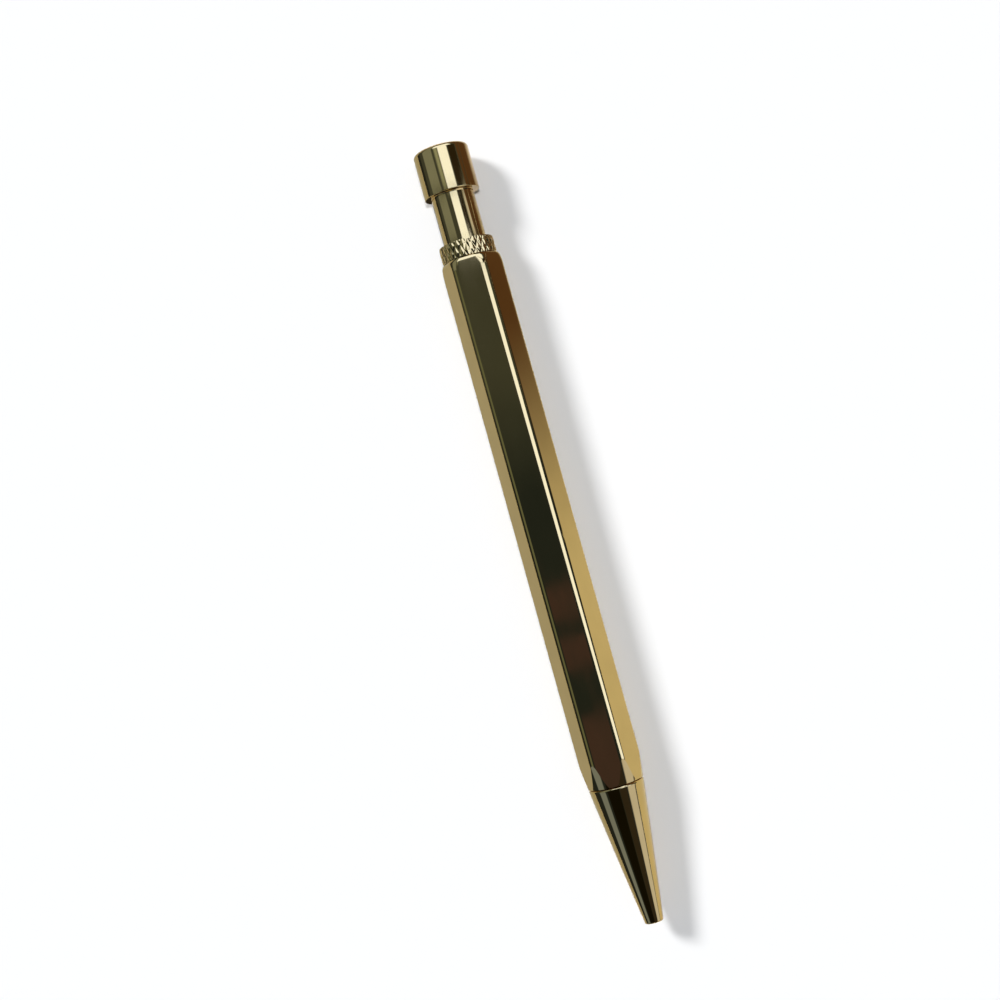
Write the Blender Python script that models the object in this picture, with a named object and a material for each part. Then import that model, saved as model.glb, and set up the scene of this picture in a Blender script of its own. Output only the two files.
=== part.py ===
"""Retractable ballpoint pen with a hexagonal barrel, lying on one of its flats.

Every piece is modelled standing on the pen's own axis, with heights measured from the mouth of the
nose cone. The pen empty then lays the axis along +Y, with the button at +Y and flats facing +Z and -Z.
The pen is shown with its point drawn in. Units are metres.
"""

import math

import bmesh
import bpy
from mathutils import Matrix, Vector

MM = 0.001

# Outside of the pen, from the nose cone up
NOSE_LENGTH = 24.2 * MM
NOSE_MOUTH_WALL = 0.32 * MM
NOSE_BULGE = 0.045 * MM
NOSE_EDGE = 0.3 * MM
BARREL_LENGTH = 92.9 * MM
ACROSS_FLATS = 9.6 * MM
CORNER_RADIUS = 1.4 * MM
FRONT_TAPER = 0.11
FRONT_END_LIFT = 0.02 * MM
REAR_ROUND = 0.45 * MM
COLLAR_HEIGHT = 2.9 * MM
KNURL_DEPTH = 0.22 * MM
KNURL_COUNT = 36
KNURL_ROWS = 2
KNURL_MARGIN = 0.15 * MM
NECK_LENGTH = 8.7 * MM
HEAD_HEIGHT = 8.1 * MM
HEAD_OVERHANG = 1.1 * MM
HEAD_EDGE = 0.5 * MM
HEAD_LOWER_EDGE = 0.15 * MM

# Clearances
SEAM = 0.1 * MM
PRESS_GAP = 0.1 * MM
SLIDE_GAP = 0.1 * MM
REST_GAP = 0.15 * MM
LOOSE_GAP = 0.15 * MM
FINE_GAP = 0.05 * MM

# Walls and threaded ends
BARREL_WALL = 0.6 * MM
COLLAR_TUBE_WALL = 0.25 * MM
COLLAR_TUBE_LENGTH = 9.5 * MM
SLEEVE_WALL = 0.55 * MM
SLEEVE_SEAT_STEP = 0.3 * MM
BUSH_INSET = 1.0 * MM
BUSH_PAST_THREAD = 0.9 * MM
THREAD_WALL = 0.6 * MM
THREAD_LENGTH = 8.2 * MM

# Refill
POINT_DEPTH = 1.0 * MM
TUBE_RADIUS = 1.5 * MM
TUBE_WALL = 0.3 * MM
POINT_LENGTH = 12.0 * MM
POINT_IN_TUBE = 4.5 * MM
POINT_CONE_LENGTH = 3.2 * MM
POINT_LIP_WALL = 0.1 * MM
BALL_RADIUS = 0.35 * MM
BALL_SHOWN = 0.3 * MM
INK_CHANNEL_RADIUS = 0.25 * MM
FOLLOWER_LENGTH = 4.0 * MM
FOLLOWER_DEPTH = 9.8 * MM
EAR_FROM_POINT = 27.0 * MM
EAR_LENGTH = 1.0 * MM
EAR_REACH = 0.7 * MM
EAR_ANGLE = math.radians(50)

# Return spring
SPRING_SEAT = 12.0 * MM
WIRE_RADIUS = 0.18 * MM
SPRING_TUBE_GAP = 0.32 * MM
SPRING_BORE_GAP = 0.27 * MM
SPRING_TURNS = 11
SPRING_END_GAP = 0.45 * MM
POINTS_PER_TURN = 10

# Click mechanism
BUTTON_STROKE = 6.0 * MM
RIB_DEPTH = 0.75 * MM
RIB_GAP = 0.2 * MM
CORE_BORE = 1.2 * MM
SOCKET_DEPTH = 6.0 * MM
SOCKET_WALL = 0.6 * MM
ROTOR_HEAD_THICKNESS = 2.3 * MM
TOOTH_COUNT = 8
TOOTH_RISE = 1.9 * MM
TOOTH_DROP_ANGLE = math.radians(2)
TOOTH_GAP = 0.15 * MM
INDEX_BACKLASH = math.radians(1)
FIN_COUNT = 4
FIN_ANGLE = math.radians(14)
FIN_HEIGHT = 4.4 * MM
FIN_ABOVE_CROWN = 0.5 * MM
FIN_PLAY = math.radians(1.5)
LUG_ANGLE = math.radians(30)
LUG_HEIGHT = 3.0 * MM
LUG_GAP = 0.25 * MM
LIP_HEIGHT = 1.2 * MM
SLEEVE_SKIRT = 4.4 * MM
STOP_GAP = 0.3 * MM
PLUNGER_GRIP = 8.0 * MM

# Facets, and overlaps of shapes that are joined or cut
ROUND_STEPS = 48
SMALL_ROUND_STEPS = 32
CORNER_STEPS = 5
ARC_STEPS = 3
NOSE_STEPS = 5
BAND_STEP_ANGLE = math.radians(4)
WELD = 0.2 * MM
CUT_MARGIN = 1.0 * MM
MERGE = 0.001 * MM

# Outer radii
FLAT_RADIUS = ACROSS_FLATS / 2
CORNER_REACH = ACROSS_FLATS / math.sqrt(3)
JOINT_RADIUS = FLAT_RADIUS + FRONT_END_LIFT
COLLAR_RADIUS = FLAT_RADIUS

# Radii of what runs inside what, from the barrel inwards
SLEEVE_BORE = FLAT_RADIUS - BARREL_WALL
BARREL_BORE = SLEEVE_BORE - SLEEVE_SEAT_STEP
SLEEVE_RADIUS = SLEEVE_BORE - PRESS_GAP
COLLAR_BORE = SLEEVE_RADIUS - COLLAR_TUBE_WALL
NECK_RADIUS = COLLAR_BORE - SLIDE_GAP
HEAD_RADIUS = NECK_RADIUS + HEAD_OVERHANG
CHANNEL_RADIUS = SLEEVE_RADIUS - SLEEVE_WALL
FIN_RADIUS = CHANNEL_RADIUS - LOOSE_GAP
RIB_RADIUS = CHANNEL_RADIUS - RIB_DEPTH
CORE_RADIUS = RIB_RADIUS - RIB_GAP

# Radii from the refill outwards
TUBE_BORE = TUBE_RADIUS - TUBE_WALL
POINT_RADIUS = TUBE_BORE - FINE_GAP
SOCKET_RADIUS = TUBE_RADIUS + LOOSE_GAP
MOUTH_RADIUS = POINT_RADIUS + LOOSE_GAP
NOSE_TIP_RADIUS = MOUTH_RADIUS + NOSE_MOUTH_WALL
NOSE_TUBE_BORE = TUBE_RADIUS + LOOSE_GAP
SPRING_RADIUS = TUBE_RADIUS + SPRING_TUBE_GAP + WIRE_RADIUS
SPRING_BORE = SPRING_RADIUS + WIRE_RADIUS + SPRING_BORE_GAP
THREAD_RADIUS = SPRING_BORE + THREAD_WALL

# The cam: the rotor turns by nearly half a tooth as its crown climbs into the plunger's crown
TOOTH_PITCH = 2 * math.pi / TOOTH_COUNT
TOOTH_SLOPE = TOOTH_RISE / (TOOTH_PITCH - TOOTH_DROP_ANGLE)
INDEX_ANGLE = TOOTH_PITCH / 2 - INDEX_BACKLASH
INDEX_CLIMB = TOOTH_SLOPE * INDEX_ANGLE
REFILL_TRAVEL = BUTTON_STROKE - INDEX_CLIMB
FIN_PITCH = 2 * math.pi / FIN_COUNT
FIN_SLANT = TOOTH_SLOPE * FIN_ANGLE / 2
SWEEP_ANGLE = INDEX_ANGLE - INDEX_BACKLASH
CHANNEL_START = -FIN_ANGLE / 2 - FIN_PLAY
CHANNEL_END = FIN_ANGLE / 2 + SWEEP_ANGLE
LATCH_ANGLE = FIN_PITCH / 2 + FIN_ANGLE / 2 + INDEX_BACKLASH

# Heights of the outside, from the mouth of the nose cone
BARREL_LOW = NOSE_LENGTH + SEAM
BARREL_TOP = BARREL_LOW + BARREL_LENGTH
COLLAR_LOW = BARREL_TOP + SEAM
COLLAR_TOP = COLLAR_LOW + COLLAR_HEIGHT
HEAD_LOW = COLLAR_TOP + NECK_LENGTH
PEN_LENGTH = HEAD_LOW + HEAD_HEIGHT
AXIS_HEIGHT = max(FLAT_RADIUS, HEAD_RADIUS)

# Heights of the mechanism, from the collar down to the refill's end
COLLAR_TUBE_LOW = COLLAR_LOW - COLLAR_TUBE_LENGTH
SLEEVE_TOP = COLLAR_TUBE_LOW - SEAM
LIP_LOW = SLEEVE_TOP - LIP_HEIGHT
LUG_LOW = LIP_LOW - REST_GAP - LUG_HEIGHT
FIN_PEAK = LUG_LOW - LUG_GAP - INDEX_CLIMB
FIN_TOP = FIN_PEAK - FIN_SLANT
CROWN_LOW = FIN_TOP - FIN_ABOVE_CROWN
SOCKET_END = CROWN_LOW - ROTOR_HEAD_THICKNESS
REFILL_TOP = SOCKET_END - REST_GAP
RIB_LOW = FIN_PEAK - REFILL_TRAVEL * SWEEP_ANGLE / INDEX_ANGLE + TOOTH_GAP
SLEEVE_LOW = RIB_LOW - SLEEVE_SKIRT
PLUNGER_LOW = CROWN_LOW + TOOTH_SLOPE * TOOTH_PITCH / 2 + TOOTH_GAP
STEM_LOW = SLEEVE_TOP + BUTTON_STROKE + STOP_GAP
PLUNGER_TOP = STEM_LOW + PLUNGER_GRIP

# Heights of the refill and of what it moves in
POINT_TOP = POINT_DEPTH + POINT_LENGTH
TUBE_LOW = POINT_TOP - POINT_IN_TUBE
MOUTH_TOP = TUBE_LOW - REFILL_TRAVEL - STOP_GAP
EAR_LOW = POINT_DEPTH + EAR_FROM_POINT
FOLLOWER_LOW = REFILL_TOP - FOLLOWER_DEPTH - FOLLOWER_LENGTH
INK_LOW = POINT_TOP + PRESS_GAP
INK_TOP = FOLLOWER_LOW - PRESS_GAP
THREAD_TOP = NOSE_LENGTH + THREAD_LENGTH


def clear_scene():
    for old in list(bpy.data.objects):
        bpy.data.objects.remove(old, do_unlink=True)


def make_material(name, colour, roughness, metallic):
    material = bpy.data.materials.new(name)
    material.use_nodes = True
    shader = material.node_tree.nodes["Principled BSDF"]
    shader.inputs["Base Color"].default_value = (*colour, 1.0)
    shader.inputs["Roughness"].default_value = roughness
    shader.inputs["Metallic"].default_value = metallic
    return material


def gold_plate(name):
    return make_material(name, (0.80, 0.62, 0.32), 0.08, 1.0)


def plastic(name, colour):
    return make_material(name, colour, 0.45, 0.0)


def add_piece(name, shape, pen, material):
    """Turns a bmesh into a named object under the pen empty."""
    bmesh.ops.recalc_face_normals(shape, faces=shape.faces)
    mesh = bpy.data.meshes.new(name)
    shape.to_mesh(mesh)
    shape.free()
    mesh.shade_smooth()
    mesh.set_sharp_from_angle(angle=math.radians(30))
    mesh.materials.append(material)
    piece = bpy.data.objects.new(name, mesh)
    bpy.context.scene.collection.objects.link(piece)
    piece.parent = pen
    return piece


def add_tool(name, shape, pen):
    """A shape that only cuts or joins another one."""
    tool = add_piece(name, shape, pen, None)
    tool.hide_render = True
    tool.display_type = "WIRE"
    return tool


def combine(piece, operation, tool):
    modifier = piece.modifiers.new(tool.name, "BOOLEAN")
    modifier.operation = operation
    modifier.solver = "EXACT"
    modifier.object = tool


def turned(profile, steps):
    """Spins a closed profile of (radius, height) round the pen's axis."""
    shape = bmesh.new()
    corners = [shape.verts.new((radius, 0.0, height)) for radius, height in profile]
    edges = [shape.edges.new(pair) for pair in zip(corners, corners[1:] + corners[:1])]
    around = {"axis": (0, 0, 1), "cent": (0, 0, 0), "angle": 2 * math.pi, "steps": steps}
    bmesh.ops.spin(shape, geom=corners + edges, use_merge=True, **around)
    bmesh.ops.remove_doubles(shape, verts=shape.verts, dist=MERGE)
    on_axis = [edge for edge in shape.edges if all(vert.co.xy.length < MERGE for vert in edge.verts)]
    bmesh.ops.delete(shape, geom=on_axis, context="EDGES")
    return shape


def arc(radius, height, bend, start, end):
    """Points of a round corner in a profile, bent about (radius, height) between two angles in degrees."""
    angles = [math.radians(start + (end - start) * step / ARC_STEPS) for step in range(ARC_STEPS + 1)]
    return [(radius + bend * math.cos(angle), height + bend * math.sin(angle)) for angle in angles]


def rod(radius, low, high):
    return [(0.0, low), (radius, low), (radius, high), (0.0, high)]


def pipe(inner, outer, low, high):
    return [(inner, low), (outer, low), (outer, high), (inner, high)]


def between(one, other):
    """Stations from one to just before the other, close enough together to look round."""
    count = max(1, math.ceil((other[0] - one[0]) / BAND_STEP_ANGLE))
    return [tuple(Vector(one).lerp(Vector(other), step / count)) for step in range(count)]


def add_band(shape, inner, outer, stations):
    """A sector of a ring whose lower and upper faces follow stations of (angle, low, high).

    Stations that go the whole way round make a closed ring.
    """
    closed = stations[-1][0] - stations[0][0] > 2 * math.pi - BAND_STEP_ANGLE / 2
    path = [step for pair in zip(stations, stations[1:]) for step in between(*pair)]
    if not closed:
        path.append(stations[-1])
    columns = []
    for angle, low, high in path:
        turn = Matrix.Rotation(angle, 3, "Z")
        column = [turn @ Vector((radius, 0.0, height)) for radius, height in pipe(inner, outer, low, high)]
        columns.append([shape.verts.new(place) for place in column])
    pairs = list(zip(columns, columns[1:]))
    if closed:
        pairs.append((columns[-1], columns[0]))
    else:
        shape.faces.new(columns[0])
        shape.faces.new(columns[-1])
    for one, other in pairs:
        for side in range(4):
            shape.faces.new((one[side - 1], one[side], other[side], other[side - 1]))


def nose_radius(height):
    part = height / NOSE_LENGTH
    straight = NOSE_TIP_RADIUS + (JOINT_RADIUS - NOSE_TIP_RADIUS) * part
    return straight + 4 * NOSE_BULGE * part * (1 - part)


def make_nose_cone(pen):
    edge = min(NOSE_EDGE, NOSE_MOUTH_WALL)
    profile = [(MOUTH_RADIUS, MOUTH_TOP), (MOUTH_RADIUS, 0.0)]
    profile += arc(nose_radius(edge) - edge, edge, edge, -90, 0)
    for step in range(1, NOSE_STEPS + 1):
        height = edge + (NOSE_LENGTH - edge) * step / NOSE_STEPS
        profile.append((nose_radius(height), height))
    profile += [
        (THREAD_RADIUS, NOSE_LENGTH),
        (THREAD_RADIUS, THREAD_TOP),
        (SPRING_BORE, THREAD_TOP),
        (SPRING_BORE, SPRING_SEAT),
        (NOSE_TUBE_BORE, SPRING_SEAT),
        (NOSE_TUBE_BORE, MOUTH_TOP),
    ]
    add_piece("nose_cone", turned(profile, ROUND_STEPS), pen, gold_plate("nose_gold"))


def round_edges(shape, edges, set_back, steps):
    bmesh.ops.bevel(
        shape,
        geom=edges,
        offset=set_back,
        offset_type="OFFSET",
        segments=steps,
        profile=0.5,
        affect="EDGES",
    )


def hexagonal_bar():
    """A bar with round corners and a round rear end. It has corners at +X and -X, and extra length in front."""
    shape = bmesh.new()
    quarter_to_corner = Matrix.Rotation(math.radians(30), 4, "Z")
    bmesh.ops.create_circle(shape, cap_ends=True, segments=6, radius=CORNER_REACH, matrix=quarter_to_corner)
    bmesh.ops.translate(shape, verts=shape.verts, vec=(0, 0, BARREL_LOW - CUT_MARGIN))
    raised = bmesh.ops.extrude_face_region(shape, geom=list(shape.faces))
    top = [item for item in raised["geom"] if isinstance(item, bmesh.types.BMVert)]
    bmesh.ops.translate(shape, verts=top, vec=(0, 0, BARREL_LENGTH + CUT_MARGIN))
    upright = [edge for edge in shape.edges if abs(edge.verts[0].co.z - edge.verts[1].co.z) > CUT_MARGIN]
    round_edges(shape, upright, CORNER_RADIUS * math.tan(math.radians(30)), CORNER_STEPS)
    rim = [edge for edge in shape.edges if min(corner.co.z for corner in edge.verts) > BARREL_TOP - MERGE]
    round_edges(shape, rim, REAR_ROUND, ARC_STEPS)
    return shape


def make_barrel(pen):
    """The bar, turned down in front and bored through."""
    barrel = add_piece("barrel", hexagonal_bar(), pen, gold_plate("barrel_gold"))
    widest = CORNER_REACH + CUT_MARGIN
    envelope = [
        (0.0, BARREL_LOW),
        (JOINT_RADIUS, BARREL_LOW),
        (widest, BARREL_LOW + (widest - JOINT_RADIUS) / FRONT_TAPER),
        (widest, BARREL_TOP + CUT_MARGIN),
        (0.0, BARREL_TOP + CUT_MARGIN),
    ]
    combine(barrel, "INTERSECT", add_tool("barrel_turning", turned(envelope, ROUND_STEPS), pen))
    bore = [
        (0.0, BARREL_LOW - CUT_MARGIN),
        (BARREL_BORE, BARREL_LOW - CUT_MARGIN),
        (BARREL_BORE, SLEEVE_LOW - SEAM),
        (SLEEVE_BORE, SLEEVE_LOW - SEAM),
        (SLEEVE_BORE, BARREL_TOP + CUT_MARGIN),
        (0.0, BARREL_TOP + CUT_MARGIN),
    ]
    combine(barrel, "DIFFERENCE", add_tool("barrel_bore", turned(bore, ROUND_STEPS), pen))


def make_front_bush(pen):
    """The insert that the nose cone's thread screws into."""
    top = THREAD_TOP + BUSH_PAST_THREAD
    profile = pipe(THREAD_RADIUS + SLIDE_GAP, BARREL_BORE - PRESS_GAP, BARREL_LOW + BUSH_INSET, top)
    brass = make_material("bush_brass", (0.72, 0.53, 0.25), 0.3, 1.0)
    add_piece("front_bush", turned(profile, ROUND_STEPS), pen, brass)


def collar_rings(count):
    """Rings of (radius, height) up the collar's outside, with staggered rows of raised points."""
    valley = COLLAR_RADIUS - KNURL_DEPTH
    knurl_low = COLLAR_LOW + KNURL_MARGIN
    knurl_top = COLLAR_TOP - KNURL_MARGIN
    row_height = (knurl_top - knurl_low) / KNURL_ROWS
    below = [(COLLAR_BORE, COLLAR_TUBE_LOW), (SLEEVE_RADIUS, COLLAR_TUBE_LOW)]
    below += [(SLEEVE_RADIUS, COLLAR_LOW), (valley, COLLAR_LOW), (valley, knurl_low)]
    above = [(valley, knurl_top), (valley, COLLAR_TOP), (COLLAR_BORE, COLLAR_TOP)]
    rings = [[place] * count for place in below]
    for row in range(KNURL_ROWS):
        height = knurl_low + (row + 0.5) * row_height
        rings.append([(valley + KNURL_DEPTH * ((i + row + 1) % 2), height) for i in range(count)])
    return rings + [[place] * count for place in above]


def make_knurled_collar(pen):
    """A ring with crossed grooves, on a tube that reaches down to the cam sleeve."""
    count = 2 * KNURL_COUNT
    shape = bmesh.new()
    loops = []
    for ring in collar_rings(count):
        turns = [Matrix.Rotation(2 * math.pi * i / count, 3, "Z") for i in range(count)]
        places = [turn @ Vector((radius, 0.0, height)) for turn, (radius, height) in zip(turns, ring)]
        loops.append([shape.verts.new(place) for place in places])
    for lower, upper in zip(loops, loops[1:] + loops[:1]):
        for i in range(count):
            a, b = lower[i - 1], lower[i]
            d, c = upper[i - 1], upper[i]
            # A groove runs between the two low corners of each quad
            if b.co.xy.length + d.co.xy.length < a.co.xy.length + c.co.xy.length:
                triangles = ((a, b, d), (b, c, d))
            else:
                triangles = ((a, b, c), (a, c, d))
            for triangle in triangles:
                shape.faces.new(triangle)
    add_piece("knurled_collar", shape, pen, gold_plate("collar_gold"))


def make_push_button(pen):
    """The head and its neck, bored from below for the plunger."""
    bore = CORE_RADIUS + PRESS_GAP
    bore_end = PLUNGER_TOP + REST_GAP
    profile = [(bore, STEM_LOW), (NECK_RADIUS, STEM_LOW), (NECK_RADIUS, HEAD_LOW)]
    profile += arc(HEAD_RADIUS - HEAD_LOWER_EDGE, HEAD_LOW + HEAD_LOWER_EDGE, HEAD_LOWER_EDGE, -90, 0)
    profile += arc(HEAD_RADIUS - HEAD_EDGE, PEN_LENGTH - HEAD_EDGE, HEAD_EDGE, 0, 90)
    profile += [(0.0, PEN_LENGTH), (0.0, bore_end), (bore, bore_end)]
    add_piece("push_button", turned(profile, ROUND_STEPS), pen, gold_plate("button_gold"))


def saw_teeth(start):
    """(angle, rise) round a crown of saw teeth: each rises with the angle and then drops."""
    steps = []
    for tooth in range(TOOTH_COUNT):
        angle = start + tooth * TOOTH_PITCH
        steps.append((angle, 0.0))
        steps.append((angle + TOOTH_PITCH - TOOTH_DROP_ANGLE, TOOTH_RISE))
    return steps + [(start + 2 * math.pi, 0.0)]


def make_plunger(pen):
    """The button's lower half: a tube with a toothed end and lugs that run in the sleeve's channels."""
    tube = turned(pipe(CORE_BORE, CORE_RADIUS, PLUNGER_LOW - WELD, PLUNGER_TOP), ROUND_STEPS)
    plunger = add_piece("plunger", tube, pen, plastic("plunger_plastic", (0.75, 0.75, 0.73)))
    lugs = bmesh.new()
    channel_middle = (CHANNEL_START + CHANNEL_END) / 2
    for lug in range(FIN_COUNT):
        start = lug * FIN_PITCH + channel_middle - LUG_ANGLE / 2
        sides = [(angle, LUG_LOW, LUG_LOW + LUG_HEIGHT) for angle in (start, start + LUG_ANGLE)]
        add_band(lugs, CORE_RADIUS - WELD, FIN_RADIUS, sides)
    combine(plunger, "UNION", add_tool("plunger_lugs", lugs, pen))
    room = bmesh.new()
    low = PLUNGER_LOW - CUT_MARGIN
    teeth = [(angle, low, PLUNGER_LOW + rise) for angle, rise in saw_teeth(TOOTH_PITCH / 2)]
    add_band(room, CORE_BORE - WELD, CORE_RADIUS + FINE_GAP, teeth)
    combine(plunger, "DIFFERENCE", add_tool("room_for_rotor", room, pen))


def make_rotor(pen):
    """The indexing cam: a socket on the refill's end, a crown of saw teeth and slanted fins."""
    profile = [
        (SOCKET_RADIUS, SOCKET_END - SOCKET_DEPTH),
        (SOCKET_RADIUS + SOCKET_WALL, SOCKET_END - SOCKET_DEPTH),
        (SOCKET_RADIUS + SOCKET_WALL, SOCKET_END),
        (CORE_RADIUS, SOCKET_END),
        (CORE_RADIUS, CROWN_LOW - WELD),
        (0.0, CROWN_LOW - WELD),
        (0.0, SOCKET_END),
        (SOCKET_RADIUS, SOCKET_END),
    ]
    black = plastic("rotor_plastic", (0.05, 0.05, 0.055))
    rotor = add_piece("rotor", turned(profile, SMALL_ROUND_STEPS), pen, black)
    fins = bmesh.new()
    for fin in range(FIN_COUNT):
        sides = []
        for side in (-1, 1):
            angle = fin * FIN_PITCH + side * FIN_ANGLE / 2
            sides.append((angle, FIN_TOP - FIN_HEIGHT, FIN_TOP + side * FIN_SLANT))
        add_band(fins, SOCKET_RADIUS + SOCKET_WALL / 2, FIN_RADIUS, sides)
    combine(rotor, "UNION", add_tool("rotor_fins", fins, pen))
    room = rod(CORE_RADIUS + SLIDE_GAP, CROWN_LOW - WELD / 2, FIN_PEAK + CUT_MARGIN)
    combine(rotor, "DIFFERENCE", add_tool("room_for_plunger", turned(room, ROUND_STEPS), pen))
    crown = bmesh.new()
    teeth = [(angle, CROWN_LOW - 2 * WELD, CROWN_LOW + rise) for angle, rise in saw_teeth(0.0)]
    add_band(crown, CORE_BORE, CORE_RADIUS - FINE_GAP, teeth)
    combine(rotor, "UNION", add_tool("rotor_crown", crown, pen))


def rib_end(turn):
    """(angle, height) along a rib's lower end: a slope, the latch wall and the slope to the next channel."""
    exit_angle = FIN_PITCH + CHANNEL_START
    wall_angle = LATCH_ANGLE + TOOTH_DROP_ANGLE
    latch_top = RIB_LOW + TOOTH_SLOPE * (LATCH_ANGLE - CHANNEL_END)
    wall_low = latch_top - TOOTH_RISE
    exit_low = wall_low + TOOTH_SLOPE * (exit_angle - wall_angle)
    corners = [
        (CHANNEL_END, RIB_LOW),
        (LATCH_ANGLE, latch_top),
        (wall_angle, wall_low),
        (exit_angle, exit_low),
    ]
    return [(turn + angle, height) for angle, height in corners]


def make_cam_sleeve(pen):
    """The fixed sleeve: channels between ribs, whose stepped lower ends catch the rotor's fins."""
    profile = [
        (CHANNEL_RADIUS, SLEEVE_LOW),
        (SLEEVE_RADIUS, SLEEVE_LOW),
        (SLEEVE_RADIUS, SLEEVE_TOP),
        (RIB_RADIUS, SLEEVE_TOP),
        (RIB_RADIUS, LIP_LOW),
        (CHANNEL_RADIUS, LIP_LOW),
    ]
    white = plastic("sleeve_plastic", (0.82, 0.82, 0.80))
    sleeve = add_piece("cam_sleeve", turned(profile, ROUND_STEPS), pen, white)
    ribs = bmesh.new()
    for rib in range(FIN_COUNT):
        stations = [(angle, height, LIP_LOW + WELD) for angle, height in rib_end(rib * FIN_PITCH)]
        add_band(ribs, RIB_RADIUS + FINE_GAP, CHANNEL_RADIUS + WELD, stations)
    combine(sleeve, "UNION", add_tool("sleeve_ribs", ribs, pen))


def make_refill_tube(pen):
    """The ink tube, with two pinched ears that the return spring bears on."""
    shape = turned(pipe(TUBE_BORE, TUBE_RADIUS, TUBE_LOW, REFILL_TOP), SMALL_ROUND_STEPS)
    steel = make_material("tube_steel", (0.62, 0.62, 0.63), 0.25, 1.0)
    tube = add_piece("refill_tube", shape, pen, steel)
    ears = bmesh.new()
    for start in (-EAR_ANGLE / 2, math.pi - EAR_ANGLE / 2):
        sides = [(angle, EAR_LOW, EAR_LOW + EAR_LENGTH) for angle in (start, start + EAR_ANGLE)]
        add_band(ears, TUBE_RADIUS - TUBE_WALL / 2, TUBE_RADIUS + EAR_REACH, sides)
    combine(tube, "UNION", add_tool("refill_ears", ears, pen))


def make_refill_point(pen):
    lip = POINT_DEPTH + BALL_SHOWN
    socket = BALL_RADIUS + FINE_GAP
    socket_end = POINT_DEPTH + 2 * BALL_RADIUS + FINE_GAP
    profile = [
        (socket, lip),
        (socket + POINT_LIP_WALL, lip),
        (POINT_RADIUS, POINT_DEPTH + POINT_CONE_LENGTH),
        (POINT_RADIUS, POINT_TOP),
        (INK_CHANNEL_RADIUS, POINT_TOP),
        (INK_CHANNEL_RADIUS, socket_end),
        (socket, socket_end),
    ]
    brass = make_material("point_brass", (0.70, 0.60, 0.40), 0.2, 1.0)
    add_piece("refill_point", turned(profile, SMALL_ROUND_STEPS), pen, brass)


def make_writing_ball(pen):
    shape = bmesh.new()
    bmesh.ops.create_uvsphere(shape, u_segments=16, v_segments=10, radius=BALL_RADIUS)
    carbide = make_material("ball_carbide", (0.45, 0.45, 0.47), 0.15, 1.0)
    ball = add_piece("writing_ball", shape, pen, carbide)
    ball.location.z = POINT_DEPTH + BALL_RADIUS


def make_ink(pen):
    """The ink in the tube and the grease plug that follows it down."""
    ink = turned(rod(TUBE_BORE - FINE_GAP, INK_LOW, INK_TOP), SMALL_ROUND_STEPS)
    add_piece("ink_column", ink, pen, make_material("ink", (0.01, 0.012, 0.03), 0.2, 0.0))
    follower = rod(TUBE_BORE - FINE_GAP, FOLLOWER_LOW, FOLLOWER_LOW + FOLLOWER_LENGTH)
    grease = turned(follower, SMALL_ROUND_STEPS)
    add_piece("ink_follower", grease, pen, plastic("follower_grease", (0.75, 0.70, 0.50)))


def spring_points():
    """Centre line of the spring's wire, with closer turns at both ends."""
    low = SPRING_SEAT + WIRE_RADIUS + SLIDE_GAP
    high = EAR_LOW - WIRE_RADIUS - SLIDE_GAP
    end_pitch = 2 * WIRE_RADIUS + SPRING_END_GAP
    body_pitch = (high - low - 2 * end_pitch) / (SPRING_TURNS - 2)
    points = []
    height = low
    for step in range(SPRING_TURNS * POINTS_PER_TURN + 1):
        angle = 2 * math.pi * step / POINTS_PER_TURN
        points.append((SPRING_RADIUS * math.cos(angle), SPRING_RADIUS * math.sin(angle), height))
        at_end = step // POINTS_PER_TURN in (0, SPRING_TURNS - 1)
        height += (end_pitch if at_end else body_pitch) / POINTS_PER_TURN
    return points


def least_gap(points):
    """Least clear distance between the wire's turns."""
    apart = POINTS_PER_TURN // 2
    distances = [math.dist(one, other) for i, one in enumerate(points) for other in points[i + apart :]]
    return min(distances) - 2 * WIRE_RADIUS


def make_return_spring(pen):
    points = spring_points()
    print(f"return_spring: least gap between turns {least_gap(points) / MM:.2f} mm")
    curve = bpy.data.curves.new("return_spring", "CURVE")
    curve.dimensions = "3D"
    curve.bevel_depth = WIRE_RADIUS
    curve.bevel_resolution = 1
    curve.use_fill_caps = True
    spline = curve.splines.new("POLY")
    spline.points.add(len(points) - 1)
    for point, place in zip(spline.points, points):
        point.co = (*place, 1.0)
    curve.materials.append(make_material("spring_steel", (0.60, 0.60, 0.60), 0.25, 1.0))
    spring = bpy.data.objects.new("return_spring", curve)
    bpy.context.scene.collection.objects.link(spring)
    spring.parent = pen


def main():
    clear_scene()
    pen = bpy.data.objects.new("pen", None)
    bpy.context.scene.collection.objects.link(pen)
    pen.location = (0.0, -PEN_LENGTH / 2, AXIS_HEIGHT)
    pen.rotation_euler = (-math.pi / 2, 0.0, 0.0)
    makers = (
        make_nose_cone,
        make_barrel,
        make_front_bush,
        make_knurled_collar,
        make_push_button,
        make_plunger,
        make_rotor,
        make_cam_sleeve,
        make_refill_tube,
        make_refill_point,
        make_writing_ball,
        make_ink,
        make_return_spring,
    )
    for make in makers:
        make(pen)
    print(f"button stroke {BUTTON_STROKE / MM:.3f} mm, refill travel {REFILL_TRAVEL / MM:.4f} mm")
    print(f"rotor turn {math.degrees(INDEX_ANGLE):.3f} degrees, refill top {REFILL_TOP / MM:.3f} mm")


main()
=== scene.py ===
"""Looks of the retractable ballpoint pen: fine surfaces, materials, studio and camera.

Pieces are drawn round the pen's axis from (radius, height) rings, with heights measured from the mouth of
the nose cone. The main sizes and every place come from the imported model. Units are metres.
"""

import math

import bmesh
import bpy
import numpy as np
from mathutils import Matrix, Vector


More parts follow.
